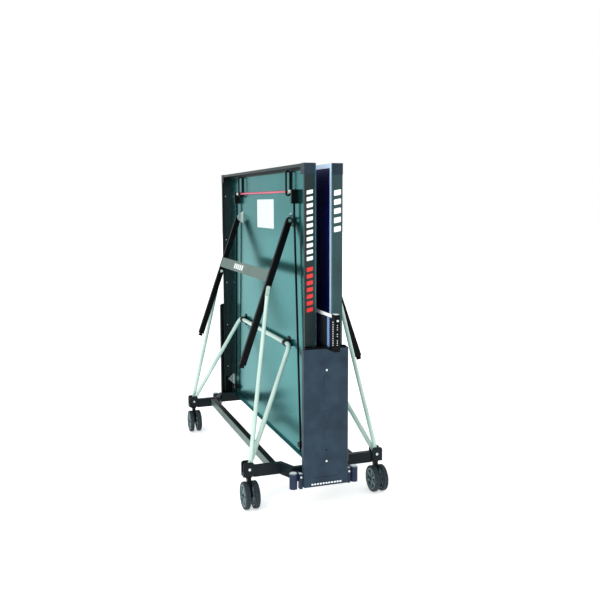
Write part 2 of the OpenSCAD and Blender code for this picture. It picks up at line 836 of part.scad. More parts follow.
// Spoked hub, dished towards the outer face
module hub(x, out) {
  rim = 5;
  w = wheel_w / 2;
  spokes = 6;
  boss = axle_r + 7;
  color("lightslategray") translate([x, -caster_trail, wheel_r]) rotate([0, 90, 0]) difference() {
    union() {
      difference() {
        translate([0, 0, -w + 1]) cylinder(r = hub_r, h = wheel_w - 2, $fn = 96);
        translate([0, 0, -w]) cylinder(r = hub_r - rim, h = wheel_w, $fn = 96);
      }
      translate([0, 0, -2]) cylinder(r = hub_r - rim + 1, h = 4, $fn = 96);
      translate([0, 0, -w + 0.6]) cylinder(r = boss, h = wheel_w - 1.2);
      for (i = [0 : spokes - 1]) rotate([0, 0, i * 360 / spokes])
        block([boss - 2, -4, -w + 3], [hub_r - rim + 1, 4, w - 3]);
    }
    translate([0, 0, -w]) cylinder(r = axle_r + fit, h = wheel_w);
    for (i = [0 : spokes - 1]) rotate([0, 0, (i + 0.5) * 360 / spokes])
      translate([30, 0, -3]) cylinder(r = 7, h = 6);
  }
}

// A caster piece at its block: side -1 left or 1 right, depth -1 near or 1 far
module at_caster(side, depth) {
  translate([side * block_x, depth * block_y, 0]) children();
}

module near_left_fork() at_caster(-1, -1) fork();
module near_left_outer_tyre() at_caster(-1, -1) tyre(-wheel_mid);
module near_left_inner_tyre() at_caster(-1, -1) tyre(wheel_mid);
module near_left_outer_hub() at_caster(-1, -1) hub(-wheel_mid);
module near_left_inner_hub() at_caster(-1, -1) hub(wheel_mid);
module near_right_fork() at_caster(1, -1) fork();
module near_right_outer_tyre() at_caster(1, -1) tyre(wheel_mid);
module near_right_inner_tyre() at_caster(1, -1) tyre(-wheel_mid);
module near_right_outer_hub() at_caster(1, -1) hub(wheel_mid);
module near_right_inner_hub() at_caster(1, -1) hub(-wheel_mid);
module far_left_fork() at_caster(-1, 1) fork();
module far_left_outer_tyre() at_caster(-1, 1) tyre(-wheel_mid);
module far_left_inner_tyre() at_caster(-1, 1) tyre(wheel_mid);
module far_left_outer_hub() at_caster(-1, 1) hub(-wheel_mid);
module far_left_inner_hub() at_caster(-1, 1) hub(wheel_mid);
module far_right_fork() at_caster(1, 1) fork();
module far_right_outer_tyre() at_caster(1, 1) tyre(wheel_mid);
module far_right_inner_tyre() at_caster(1, 1) tyre(-wheel_mid);
module far_right_outer_hub() at_caster(1, 1) hub(wheel_mid);
module far_right_inner_hub() at_caster(1, 1) hub(-wheel_mid);

// ---------------------------------------------------------------- the two halves

module left() mirror([1, 0, 0]) children();

module left_top() left() half_top();
module left_frame() left() half_frame();
module left_corner_caps() left() half_corner_caps();
module left_brackets() left() half_brackets();
module left_tube_guides() left() half_tube_guides();
module left_slide_blocks() left() half_slide_blocks();
module left_brace() left() half_brace();
module left_legs() left() half_legs();
module left_crossbar() left() half_crossbar();
module left_feet() left() half_feet();
module left_stays() left() half_stays();
module left_release_bar() left() half_release_bar();
module left_lock_rods() left() half_lock_rods();
module right_top() half_top();
module right_frame() half_frame();
module right_corner_caps() half_corner_caps();
module right_brackets() half_brackets();
module right_tube_guides() half_tube_guides();
module right_slide_blocks() half_slide_blocks();
module right_brace() half_brace();
module right_legs() half_legs();
module right_crossbar() half_crossbar();
module right_feet() half_feet();
module right_stays() half_stays();
module right_release_bar() half_release_bar();
module right_lock_rods() half_lock_rods();

near_arm();
far_arm();
long_bars();
caster_blocks();
chassis_bolts();
near_column();
far_column();
near_side_cover();
far_side_cover();
bumpers();
net_posts();
net();
net_tape();
left_top();
left_frame();
left_corner_caps();
left_brackets();
left_tube_guides();
left_slide_blocks();
left_brace();
left_legs();
left_crossbar();
left_feet();
left_stays();
left_release_bar();
left_lock_rods();
right_top();
right_frame();
right_corner_caps();
right_brackets();
right_tube_guides();
right_slide_blocks();
right_brace();
right_legs();
right_crossbar();
right_feet();
right_stays();
right_release_bar();
right_lock_rods();
near_left_fork();
near_left_outer_tyre();
near_left_inner_tyre();
near_left_outer_hub();
near_left_inner_hub();
near_right_fork();
near_right_outer_tyre();
near_right_inner_tyre();
near_right_outer_hub();
near_right_inner_hub();
far_left_fork();
far_left_outer_tyre();
far_left_inner_tyre();
far_left_outer_hub();
far_left_inner_hub();
far_right_fork();
far_right_outer_tyre();
far_right_inner_tyre();
far_right_outer_hub();
far_right_inner_hub();
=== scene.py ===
# %% [markdown]
# # A folding table tennis table, stored upright
#
# The table comes from CAD as a fixed frame: every tube, sheet, wheel and bolt is already at
# its place and its real size. This script gives it its looks. It softens the edges of the
# CAD pieces, models the small pieces that CAD leaves plain, such as the tyres, the knotted
# net and its tape, and paints everything with node materials. Nothing is fitted: positions
# are read from the frame, in metres.

# %% Load the frame
import json
import math

import bpy
from mathutils import Matrix, Vector


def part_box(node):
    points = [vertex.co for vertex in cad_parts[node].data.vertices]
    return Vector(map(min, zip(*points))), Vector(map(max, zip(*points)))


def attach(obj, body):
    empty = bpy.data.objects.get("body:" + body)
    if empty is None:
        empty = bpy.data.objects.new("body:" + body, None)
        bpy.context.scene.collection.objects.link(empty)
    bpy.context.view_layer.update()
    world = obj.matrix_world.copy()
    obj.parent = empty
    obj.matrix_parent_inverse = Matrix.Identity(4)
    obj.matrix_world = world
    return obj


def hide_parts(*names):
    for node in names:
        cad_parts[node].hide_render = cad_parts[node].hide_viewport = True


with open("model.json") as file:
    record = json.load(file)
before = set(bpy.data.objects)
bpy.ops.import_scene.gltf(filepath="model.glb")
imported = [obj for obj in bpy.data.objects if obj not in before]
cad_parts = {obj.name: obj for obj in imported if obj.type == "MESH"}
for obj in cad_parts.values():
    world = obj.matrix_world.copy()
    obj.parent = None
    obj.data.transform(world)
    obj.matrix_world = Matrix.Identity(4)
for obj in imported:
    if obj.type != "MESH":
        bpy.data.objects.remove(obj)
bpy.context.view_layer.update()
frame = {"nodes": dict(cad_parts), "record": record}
nodes = frame["nodes"]
slots = {row["node"]: row["material_slot"] for row in frame["record"]["subparts"]}
mm = 0.001

# %% [markdown]
# ## Camera
#
# The camera stands at the near end of the table, a little to the left, at about the eye
# height of a person. A 45 mm lens at almost four metres keeps the sides of the table
# nearly parallel.

# %% Camera
CAMERA_AT = Vector((-1.2005, -3.8558, 1.3924))
CAMERA_YAW = 0.3385
CAMERA_PITCH = 0.1218
CAMERA_ROLL = -0.003
CAMERA_LENS = 45.05


def camera_turn(yaw, pitch, roll):
    """Rotation of a camera that looks along +Y, turned by yaw towards +X and tilted down."""
    level = math.cos(pitch)
    ahead = Vector((math.sin(yaw) * level, math.cos(yaw) * level, -math.sin(pitch)))
    right = Vector((math.cos(yaw), -math.sin(yaw), 0))
    up = right.cross(ahead)
    aimed = Matrix((right, up, -ahead)).transposed()
    return aimed @ Matrix.Rotation(roll, 3, "Z")


bpy.ops.object.select_all(action="DESELECT")
bpy.ops.object.camera_add(location=CAMERA_AT)
camera = bpy.context.object
camera.name = "camera"
camera.rotation_euler = camera_turn(CAMERA_YAW, CAMERA_PITCH, CAMERA_ROLL).to_euler()
camera.data.lens = CAMERA_LENS
camera.data.sensor_width = 36
bpy.context.scene.camera = camera
print("camera at", tuple(camera.location))

# %% [markdown]
# ## Colours and nodes
#
# Paint charts and screens give colours as sRGB hex values, but the renderer adds up light,
# so it wants linear numbers. One function turns one into the other. A second small function
# adds a node, sets its values and links its inputs, which keeps each material to a few lines.

# %% Colour and node helpers
def linear(hex_colour):
    """sRGB hex, such as "#28323A", as linear red, green, blue and alpha."""
    parts = [int(hex_colour[i:i + 2], 16) / 255 for i in (1, 3, 5)]
    return [c / 12.92 if c <= 0.04045 else ((c + 0.055) / 1.055) ** 2.4 for c in parts] + [1.0]


def add(tree, kind, values=None, links=None, **settings):
    """Adds a node of a kind, sets its settings and input values, and links its inputs."""
    made = tree.nodes.new("ShaderNode" + kind)
    for key, value in settings.items():
        setattr(made, key, value)
    for key, value in (values or {}).items():
        made.inputs[key].default_value = value
    for key, socket in (links or {}).items():
        tree.links.new(socket, made.inputs[key])
    return made


def new_material(name, **values):
    """A material with one Principled shader, whose sockets take the values given."""
    material = bpy.data.materials.new(name)
    material.use_nodes = True
    tree = material.node_tree
    shader = tree.nodes["Principled BSDF"]
    for key, value in values.items():
        shader.inputs[key.replace("_", " ")].default_value = value
    place = add(tree, "TexCoord").outputs["Object"]
    return material, tree, shader, place


def tint(tree, factor, low, high, start=0.0, end=1.0):
    """A colour that runs from low to high as factor runs from start to end."""
    ramp = add(tree, "ValToRGB", links={"Fac": factor})
    ramp.color_ramp.elements[0].color = linear(low)
    ramp.color_ramp.elements[0].position = start
    ramp.color_ramp.elements[1].color = linear(high)
    ramp.color_ramp.elements[1].position = end
    return ramp.outputs["Color"]


def bump(tree, shader, height, distance, strength=0.5):
    """Raises the surface by distance, in metres, where height is 1."""
    made = add(tree, "Bump", {"Distance": distance, "Strength": strength}, {"Height": height})
    tree.links.new(made.outputs["Normal"], shader.inputs["Normal"])


# %% [markdown]
# ## Powder-coated steel
#
# The frame, the columns, the arms and the legs are steel with baked powder coat. The powder
# melts into a skin that is never quite flat: under a lamp it shows a faint orange peel of
# one or two millimetres, and rubbed places turn a little glossier. The peel is a noise
# bump, and a broad noise varies the colour and roughness so that a long tube isn't dead.

# %% Powder coat
PEEL = 1.6 * mm
CLOUD = 140 * mm


def powder_coat(name, dark, light, roughness=0.42, shine=0.15, peel=0.00008):
    settings = {"Roughness": roughness, "Specular_IOR_Level": shine}
    material, tree, shader, place = new_material(name, **settings)
    cloud = add(tree, "TexNoise", {"Scale": 1 / CLOUD, "Detail": 5.0}, {"Vector": place})
    colour = tint(tree, cloud.outputs["Fac"], dark, light, 0.3, 0.7)
    tree.links.new(colour, shader.inputs["Base Color"])
    grain = add(tree, "TexNoise", {"Scale": 1 / PEEL, "Detail": 2.0}, {"Vector": place})
    rub = add(tree, "MapRange", {"To Min": roughness - 0.06, "To Max": roughness + 0.08},
              {"Value": cloud.outputs["Fac"]})
    tree.links.new(rub.outputs["Result"], shader.inputs["Roughness"])
    bump(tree, shader, grain.outputs["Fac"], peel)
    return material


black_powder = powder_coat("black powder-coated steel", "#030506", "#080C0E", 0.42, 0.08)
arm_powder = powder_coat("black-green powder-coated steel", "#0F171B", "#182226", 0.4, 0.12)
charcoal_powder = powder_coat("charcoal powder-coated steel", "#1B2729", "#243233", 0.38, 0.12)
# A lighter slate, painted light on the faces of the right frame that look towards the near end.
painted_light_slate_powder = powder_coat("slate powder-coated steel with painted light", "#25393B", "#2F4A4B", 0.36, 0.2)
graphite_powder = powder_coat("grey-green powder-coated bar", "#4B5F5B", "#5E746E", 0.4, 0.2)
silver_powder = powder_coat("silver-white powder-coated tube", "#ACC9BF", "#C6DED5", 0.3, 0.4)
crossbar_powder = powder_coat("grey-green powder-coated steel", "#4A6059", "#587068", 0.42, 0.22)
red_powder = powder_coat("red powder-coated tube", "#C73A5E", "#D84E72", 0.32, 0.3)
print("powder coats made")

# %% [markdown]
# ## Moulded plastic
#
# The side covers, the caster blocks and the guides are injection-moulded. A mould is
# spark-eroded to give a fine matt grain that hides scratches, about half a millimetre
# across. Voronoi cells make that grain, and a very broad noise stands for the slight
# bloom that plastic gets in the weather.

# %% Moulded plastic
GRAIN = 0.8 * mm
BLOOM = 90 * mm


def moulded_plastic(name, dark, light, roughness=0.5, shine=0.15, depth=0.00006):
    settings = {"Roughness": roughness, "IOR": 1.49, "Specular_IOR_Level": shine}
    material, tree, shader, place = new_material(name, **settings)
    bloom = add(tree, "TexNoise", {"Scale": 1 / BLOOM, "Detail": 4.0}, {"Vector": place})
    colour = tint(tree, bloom.outputs["Fac"], dark, light, 0.35, 0.7)
    tree.links.new(colour, shader.inputs["Base Color"])
    cells = add(tree, "TexVoronoi", {"Scale": 1 / GRAIN}, {"Vector": place})
    bump(tree, shader, cells.outputs["Distance"], depth, 0.4)
    return material


black_plastic = moulded_plastic("black moulded nylon", "#040607", "#0B0F11", 0.45, 0.12)
block_plastic = moulded_plastic("dark moulded nylon block", "#10171A", "#1A2427", 0.5, 0.12)
cover_plastic = moulded_plastic("blue-grey moulded ABS cover", "#1E2D3A", "#2A3D4D", 0.42, 0.18)
# Painted shade for the side walls of the raised bars on the covers.
relief_shade_plastic = moulded_plastic("painted shade on the sides of the raised bars", "#10181F", "#18222B", 0.6, 0.1)
bumper_plastic = moulded_plastic("navy moulded bumper", "#18243A", "#222F48", 0.4, 0.2)
# Pale plastic for the net clips, and also the painted highlight on the bumper tops.
pale_plastic_and_highlight = moulded_plastic("pale moulded plastic and painted highlight on bumper tops", "#B9C9CC", "#DCE8E8", 0.45, 0.3)
cap_plastic = moulded_plastic("slate moulded corner cap", "#1B2733", "#26333F", 0.45, 0.15)
hub_plastic = moulded_plastic("grey-blue moulded wheel hub", "#5E7478", "#7A9295", 0.35, 0.3)
web_plastic = moulded_plastic("dark moulded wheel web", "#141B1F", "#20292D", 0.5, 0.1)
foot_rubber = moulded_plastic("black moulded rubber foot", "#050607", "#0C0E0F", 0.7, 0.1)
print("plastics made")

# %% [markdown]
# ## The top sheet: one laminate, three finishes
#
# Each half is a pressed resin laminate with a printed side and a plain side. The playing
# side is a satin navy with white border lines 20 mm wide and a 3 mm centre line, as the
# rules of the game ask. The underside is a glossy teal skin with a pearl lacquer: seen
# along the sheet it mirrors the legs, softly blurred. The colour is picked by which side
# of the 5 mm sheet a point is on, so one material serves the whole solid.

# %% Top sheet laminate
top_low, top_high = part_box("right_top")
SHEET = 5 * mm
LINE = 20 * mm
CENTRE_LINE = 3 * mm
PRINT = 0.2 * mm


def both(tree, operation, first, second):
    """A Math node on two sockets or numbers."""
    values = {i: v for i, v in enumerate((first, second)) if isinstance(v, (int, float))}
    links = {i: v for i, v in enumerate((first, second)) if not isinstance(v, (int, float))}
    return add(tree, "Math", values, links, operation=operation).outputs["Value"]


def blend_colours(tree, factor, first, second):
    """A colour between first and second, sockets or hex values, by a factor from 0 to 1."""
    mix = add(tree, "Mix", links={0: factor}, data_type="RGBA")
    for index, colour in ((6, first), (7, second)):
        if isinstance(colour, str):
            mix.inputs[index].default_value = linear(colour)
        else:
            tree.links.new(colour, mix.inputs[index])
    return mix.outputs[2]


def sheet_laminate():
    material, tree, shader, place = new_material("pressed resin laminate sheet", IOR=1.55)
    axes = add(tree, "SeparateXYZ", links={0: place})
    across = both(tree, "ABSOLUTE", axes.outputs["X"], 0)
    along = both(tree, "ABSOLUTE", axes.outputs["Y"], 0)
    up = axes.outputs["Z"]
    side_line = both(tree, "GREATER_THAN", along, top_high.y - LINE)
    end_line = both(tree, "GREATER_THAN", up, top_high.z - LINE)
    net_line = both(tree, "LESS_THAN", along, CENTRE_LINE / 2)
    printed = both(tree, "MAXIMUM", both(tree, "MAXIMUM", side_line, end_line), net_line)
    play_face = both(tree, "LESS_THAN", across, top_low.x + PRINT)
    painted = both(tree, "MULTIPLY", printed, play_face)
    cloud = add(tree, "TexNoise", {"Scale": 1 / (300 * mm), "Detail": 4.0}, {"Vector": place})
    navy = tint(tree, cloud.outputs["Fac"], "#040830", "#071050", 0.3, 0.7)
    play_side = blend_colours(tree, painted, navy, "#C9DDF2")
    slate = tint(tree, cloud.outputs["Fac"], "#2A7276", "#327E80", 0.3, 0.7)
    underside = both(tree, "GREATER_THAN", across, top_low.x + SHEET / 2)
    tree.links.new(blend_colours(tree, underside, play_side, slate), shader.inputs["Base Color"])
    gloss = add(tree, "MapRange", {"To Min": 0.38, "To Max": 0.2}, {"Value": underside})
    tree.links.new(gloss.outputs["Result"], shader.inputs["Roughness"])
    pearl = add(tree, "MapRange", {"To Min": 0.0, "To Max": 0.9}, {"Value": underside})
    tree.links.new(pearl.outputs["Result"], shader.inputs["Metallic"])
    shine = add(tree, "MapRange", {"To Min": 0.12, "To Max": 0.4}, {"Value": underside})
    tree.links.new(shine.outputs["Result"], shader.inputs["Specular IOR Level"])
    shader.inputs["Specular Tint"].default_value = linear("#E0F4F2")
    grain = add(tree, "TexNoise", {"Scale": 1 / (2.5 * mm), "Detail": 3.0}, {"Vector": place})
    bump(tree, shader, grain.outputs["Fac"], 0.03 * mm, 0.3)
    return material


top_laminate = sheet_laminate()
print("playing side lines:", LINE, CENTRE_LINE)

# %% [markdown]
# ## Zinc, rubber, cloth and vinyl
#
# Small steel parts are zinc plated: a bright grey metal with a faint cloudy bloom from the
# passivation bath. The tyres are matt rubber, slightly dusty on the tread. The net is black
# nylon twine, its tape white cotton with a stitched hem, and its ends are sleeves of dark
# blue cloth with a lighter hem. The marks on the sides are cut from thin vinyl film, and
# the label is printed paper.

# %% Zinc, rubber, cloth and vinyl
def zinc_plate():
    material, tree, shader, place = new_material("zinc-plated steel", Metallic=1.0)
    bloom = add(tree, "TexNoise", {"Scale": 1 / (9 * mm), "Detail": 4.0}, {"Vector": place})
    colour = tint(tree, bloom.outputs["Fac"], "#A9B5B4", "#DDE5E3", 0.3, 0.7)
    tree.links.new(colour, shader.inputs["Base Color"])
    rough = add(tree, "MapRange", {"To Min": 0.26, "To Max": 0.42}, {"Value": bloom.outputs["Fac"]})
    tree.links.new(rough.outputs["Result"], shader.inputs["Roughness"])
    return material


def tyre_rubber():
    settings = {"IOR": 1.52, "Specular_IOR_Level": 0.2}
    material, tree, shader, place = new_material("matt grey tyre rubber", **settings)
    dust = add(tree, "TexNoise", {"Scale": 1 / (12 * mm), "Detail": 6.0}, {"Vector": place})
    colour = tint(tree, dust.outputs["Fac"], "#1C272C", "#303D43", 0.35, 0.75)
    tree.links.new(colour, shader.inputs["Base Color"])
    rough = add(tree, "MapRange", {"To Min": 0.5, "To Max": 0.75}, {"Value": dust.outputs["Fac"]})
    tree.links.new(rough.outputs["Result"], shader.inputs["Roughness"])
    return material


def net_twine():
    material, tree, shader, place = new_material("twisted nylon net twine", Roughness=0.6)
    twist = add(tree, "TexWave", {"Scale": 1 / (1.6 * mm), "Distortion": 0.0}, {"Vector": place},
                bands_direction="DIAGONAL")
    colour = tint(tree, twist.outputs["Fac"], "#0B0F16", "#1A222D")
    tree.links.new(colour, shader.inputs["Base Color"])
    bump(tree, shader, twist.outputs["Fac"], 0.15 * mm)
    return material


TAPE_STITCH = 3 * mm
STITCH_STEP = 4 * mm


def cotton_tape():
    material, tree, shader, place = new_material("woven cotton net tape", Roughness=0.85)
    shader.inputs["Sheen Weight"].default_value = 0.2
    warp = add(tree, "TexWave", {"Scale": 0.6 / mm, "Distortion": 0.4}, {"Vector": place},
               bands_direction="Y")
    weft = add(tree, "TexWave", {"Scale": 0.6 / mm, "Distortion": 0.4}, {"Vector": place},
               bands_direction="Z")
    weave = both(tree, "MULTIPLY", warp.outputs["Fac"], weft.outputs["Fac"])
    colour = tint(tree, weave, "#E4EDF0", "#FFFFFF", 0.0, 0.6)
    axes = add(tree, "SeparateXYZ", links={0: place})
    tape_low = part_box("net_tape")[0].z
    above = both(tree, "SUBTRACT", axes.outputs["Z"], tape_low + TAPE_STITCH)
    height = both(tree, "ABSOLUTE", above, 0)
    row = both(tree, "LESS_THAN", height, 0.5 * mm)
    step = both(tree, "FRACT", both(tree, "MULTIPLY", axes.outputs["Y"], 1 / STITCH_STEP), 0)
    stitch = both(tree, "MULTIPLY", row, both(tree, "LESS_THAN", step, 0.7))
    tree.links.new(blend_colours(tree, stitch, colour, "#9FB2BE"), shader.inputs["Base Color"])
    bump(tree, shader, weave, 0.12 * mm)
    return material


def vinyl_film(name, dark, light):
    material, tree, shader, place = new_material(name, Roughness=0.32, IOR=1.5)
    grain = add(tree, "TexNoise", {"Scale": 1 / (6 * mm), "Detail": 3.0}, {"Vector": place})
    colour = tint(tree, grain.outputs["Fac"], dark, light, 0.3, 0.7)
    tree.links.new(colour, shader.inputs["Base Color"])
    return material


SLEEVE = 82 * mm
HEM = 28 * mm
HEM_DOTS = 8 * mm


def sleeve_cloth():
    material, tree, shader, place = new_material("dark blue net sleeve cloth", Roughness=0.8)
    shader.inputs["Specular IOR Level"].default_value = 0.1
    axes = add(tree, "SeparateXYZ", links={0: place})
    along = both(tree, "ABSOLUTE", axes.outputs["Y"], 0)
    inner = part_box("net")[1].y - SLEEVE
    hem = both(tree, "LESS_THAN", along, inner + HEM)
    step = both(tree, "FRACT", both(tree, "MULTIPLY", axes.outputs["Z"], 1 / HEM_DOTS), 0)
    dots = both(tree, "MULTIPLY", hem, both(tree, "LESS_THAN", step, 0.5))
    weave = add(tree, "TexWave", {"Scale": 0.5 / mm, "Distortion": 0.5}, {"Vector": place},
                bands_direction="Z")
    cloth = tint(tree, weave.outputs["Fac"], "#0C1424", "#162238")
    hemmed = blend_colours(tree, hem, cloth, "#3F6398")
    tree.links.new(blend_colours(tree, dots, hemmed, "#8FB2DC"), shader.inputs["Base Color"])
    bump(tree, shader, weave.outputs["Fac"], 0.1 * mm)
    return material


LABEL_ROW = 19 * mm


def paper_label():
    material, tree, shader, place = new_material("white paper label", Roughness=0.6)
    axes = add(tree, "SeparateXYZ", links={0: place})
    step = both(tree, "FRACT", both(tree, "MULTIPLY", axes.outputs["Z"], 1 / LABEL_ROW), 0)
    row = both(tree, "LESS_THAN", step, 0.12)
    breaks = add(tree, "TexNoise", {"Scale": 1 / (30 * mm)}, {"Vector": place})
    line = both(tree, "MULTIPLY", row, both(tree, "GREATER_THAN", breaks.outputs["Fac"], 0.5))
    tree.links.new(blend_colours(tree, line, "#D8E4E4", "#B9C6C8"), shader.inputs["Base Color"])
    return material


sleeve_blue = sleeve_cloth()
label_paper = paper_label()
zinc = zinc_plate()
rubber = tyre_rubber()
twine = net_twine()
tape_cotton = cotton_tape()
white_vinyl = vinyl_film("white vinyl film", "#DDE6E6", "#F4F9F8")
red_vinyl = vinyl_film("red vinyl film", "#C21A16", "#DA2A20")
print("other finishes made")

# %% [markdown]
# ## Shaping by hand
#
# The next helpers do what a modeller does with the mouse: pick one object, open edit mode
# with a few faces or edges selected by their place, and apply a modifier. An operator works
# on everything that is selected, so each helper starts by deselecting all.

# %% Shaping helpers
def only(*wanted):
    """Selects these objects and no others; the last one is active."""
    bpy.ops.object.select_all(action="DESELECT")
    for thing in wanted:
        thing.select_set(True)
    bpy.context.view_layer.objects.active = wanted[-1]
    return wanted[-1]


def choose(piece, kind, test):
    """Opens edit mode with the vertices, edges or faces selected that pass the test."""
    only(piece)
    bpy.ops.object.mode_set(mode="EDIT")
    bpy.ops.mesh.select_mode(type=kind)
    bpy.ops.mesh.select_all(action="DESELECT")
    bpy.ops.object.mode_set(mode="OBJECT")
    mesh = piece.data
    if kind == "VERT":
        for point in mesh.vertices:
            point.select = test(point.co)
    elif kind == "EDGE":
        for edge in mesh.edges:
            edge.select = test(*(mesh.vertices[i].co for i in edge.vertices))
    else:
        for face in mesh.polygons:
            face.select = test(face.center, face.normal)
    bpy.ops.object.mode_set(mode="EDIT")


def close_edit():
    bpy.ops.object.mode_set(mode="OBJECT")


def modify(piece, kind, **settings):
    """Adds a modifier with its settings and applies it."""
    only(piece)
    made = piece.modifiers.new(kind.lower(), kind)
    for key, value in settings.items():
        setattr(made, key, value)
    bpy.ops.object.modifier_apply(modifier=made.name)


def settle(piece):
    """Applies the place, turn and size to the mesh, so that the object sits at the origin."""
    only(piece)
    bpy.ops.object.transform_apply(location=True, rotation=True, scale=True)


def copy_of(piece, move=(0, 0, 0), mirror=(1, 1, 1)):
    """A copy with its own mesh, moved, and mirrored where mirror has a -1."""
    only(piece)
    bpy.ops.object.duplicate()
    made = bpy.context.object
    made.scale = mirror
    settle(made)
    if mirror[0] * mirror[1] * mirror[2] < 0:
        choose(made, "FACE", lambda centre, normal: True)
        bpy.ops.mesh.normals_make_consistent(inside=False)
        close_edit()
    made.location = move
    settle(made)
    return made


def joined(parts):
    only(*parts)
    bpy.ops.object.join()
    return bpy.context.object


def polish(piece, angle=35):
    """Smooth shading that stays crisp at edges over the angle, with flat faces kept flat."""
    only(piece)
    bpy.ops.object.shade_smooth_by_angle(angle=math.radians(angle))
    modify(piece, "WEIGHTED_NORMAL", keep_sharp=True)


bodies = frame["record"]["behaviour"]["bodies"]
body_of_node = {node: body for body, group in bodies.items() for node in group}


def hand_over(piece, name, material, slot, body, *replaced):
    """Names a finished piece, paints it, and lets it ride its CAD body."""
    piece.name = name
    piece.data.name = name
    piece.data.materials.clear()
    piece.data.materials.append(material)
    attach(piece, body)
    if replaced:
        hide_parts(*replaced)
    return piece


print("bodies:", len(set(body_of_node.values())))

# %% [markdown]
# ## Softening the edges of CAD parts
#
# A CAD solid has knife edges, and no real part has: folded sheet has a radius of about its
# own thickness, a moulding about half a millimetre, and a sawn tube is deburred. Light
# catches these edges, so they matter more than their size. Each CAD part is copied, its
# loose triangles are merged, flat areas become one face, and a bevel rounds what is sharp.
# The CAD node itself stays as it is and is only hidden.

# %% Rounded copies of CAD parts
def rounded_copy(node, edge, steps=2, sharp=40):
    """A copy of a CAD node with its sharp edges rounded by edge, in metres."""
    piece = bpy.data.objects.new(node + "_copy", nodes[node].data.copy())
    bpy.context.scene.collection.objects.link(piece)
    choose(piece, "FACE", lambda centre, normal: True)
    bpy.ops.mesh.remove_doubles(threshold=0.005 * mm)
    bpy.ops.mesh.dissolve_limited(angle_limit=math.radians(0.3))
    close_edit()
    if edge:
        modify(piece, "BEVEL", width=edge, segments=steps, limit_method="ANGLE",
               angle_limit=math.radians(sharp), use_clamp_overlap=True)
    polish(piece)
    return piece


finishes = {
    "arm": (arm_powder, 1.2 * mm),
    "long_bars": (graphite_powder, 1.2 * mm),
    "caster_blocks": (block_plastic, 1.0 * mm),
    "chassis_bolts": (zinc, 0.6 * mm),
    "column": (black_powder, 0.8 * mm),
    "side_cover": (cover_plastic, 0.5 * mm),
    "bumpers": (bumper_plastic, 1.5 * mm),
    "net_posts": (black_powder, 1.5 * mm),
    "frame": (charcoal_powder, 0.7 * mm),
    "corner_caps": (cap_plastic, 1.0 * mm),
    "brackets": (zinc, 0.5 * mm),
    "tube_guides": (black_plastic, 0.8 * mm),
    "slide_blocks": (black_plastic, 0.8 * mm),
    "brace": (silver_powder, 0.4 * mm),
    "legs": (black_powder, 1.6 * mm),
    "crossbar": (crossbar_powder, 1.4 * mm),
    "feet": (foot_rubber, 1.0 * mm),
    "stays": (silver_powder, 0.4 * mm),
    "release_bar": (red_powder, 0.6 * mm),
    "lock_rods": (black_powder, 0.3 * mm),
    "fork": (black_plastic, 0.8 * mm),
    "hub": (hub_plastic, 0.6 * mm),
}
for node in nodes:
    kind = next((k for k in finishes if node.endswith(k)), None)
    if kind:
        paint, edge = finishes[kind]
        piece = rounded_copy(node, edge)
        hand_over(piece, node + "_finished", paint, slots[node], body_of_node[node], node)


# %% [markdown]
# ## A second paint on some faces
#
# Some CAD parts take a second paint on some faces. The long bars have a black top, the hub
# webs inside the rim are darker than the rim, and the hinge plates are coated where the other
# brackets are bare zinc. Three marks are painted light and shade: the bumper tops are a pale
# painted highlight, the faces of the right frame that look towards the near end are a lighter
# slate as painted light, and the side walls of the raised bars on the covers are painted shade.
# Such faces are chosen by where they are and which way they look, and take a second material slot.

# %% Second paints
FACING = 0.7
RIM_LIP = 6 * mm
HINGE_REACH = 8 * mm
HIGHLIGHT_DEPTH = 4 * mm
RELIEF_HALF = 20 * mm


def paint_faces(piece, paint, test):
    """Gives a second paint to the faces of a finished piece that pass the test."""
    piece.data.materials.append(paint)
    last = len(piece.data.materials) - 1
    for face in piece.data.polygons:
        if test(face.center, face.normal):
            face.material_index = last


def finished(node):
    return bpy.data.objects[node + "_finished"]


hinge_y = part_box("right_frame")[1].y - HINGE_REACH
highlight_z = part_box("bumpers")[1].z - HIGHLIGHT_DEPTH
# The faces of the right frame that look towards the near end get a lighter slate: painted light on
# the side that faces the key light.
paint_faces(finished("right_frame"), painted_light_slate_powder, lambda centre, normal: normal.y < -FACING)
paint_faces(finished("long_bars"), black_powder, lambda centre, normal: normal.z > FACING)
# The top faces of the bumpers get a pale colour: a painted highlight where light falls from above.
paint_faces(finished("bumpers"), pale_plastic_and_highlight,
            lambda centre, normal: normal.z > FACING and centre.z > highlight_z)
# The side walls of the raised bars on the covers get a darker plastic: painted shade that outlines
# the relief.
for end in ("near", "far"):
    paint_faces(finished(end + "_side_cover"), relief_shade_plastic,
                lambda centre, normal: abs(centre.x) < RELIEF_HALF and abs(normal.y) < 0.8)
for node in [name for name in nodes if name.endswith("hub")]:
    low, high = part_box(node)
    middle = (low.x + high.x) / 2
    web_half = (high.x - low.x) / 2 - RIM_LIP
    paint_faces(finished(node), web_plastic,
                lambda centre, normal: abs(normal.x) > FACING and abs(centre.x - middle) < web_half)
for side in ("left", "right"):
    paint_faces(finished(side + "_brackets"), black_powder,
                lambda centre, normal: abs(centre.y) > hinge_y)
    nodes[side + "_top"].data.materials.clear()
    nodes[side + "_top"].data.materials.append(top_laminate)
two_paints = [o.name for o in bpy.data.objects if o.type == "MESH" and len(o.data.materials) == 2]
print("pieces with two paints:", len(two_paints))

# %% [markdown]
# ## Tyres
#
# A caster tyre is a moulded ring: two flat sidewalls, rounded shoulders and a tread with a
# shallow groove. It starts as an open band, its rims are drawn inwards to make the
# sidewalls, the shoulders are bevelled and the groove is cut by two bisects and pushed in.
# All eight wheels are the same, so one tyre is modelled at the origin and copied.

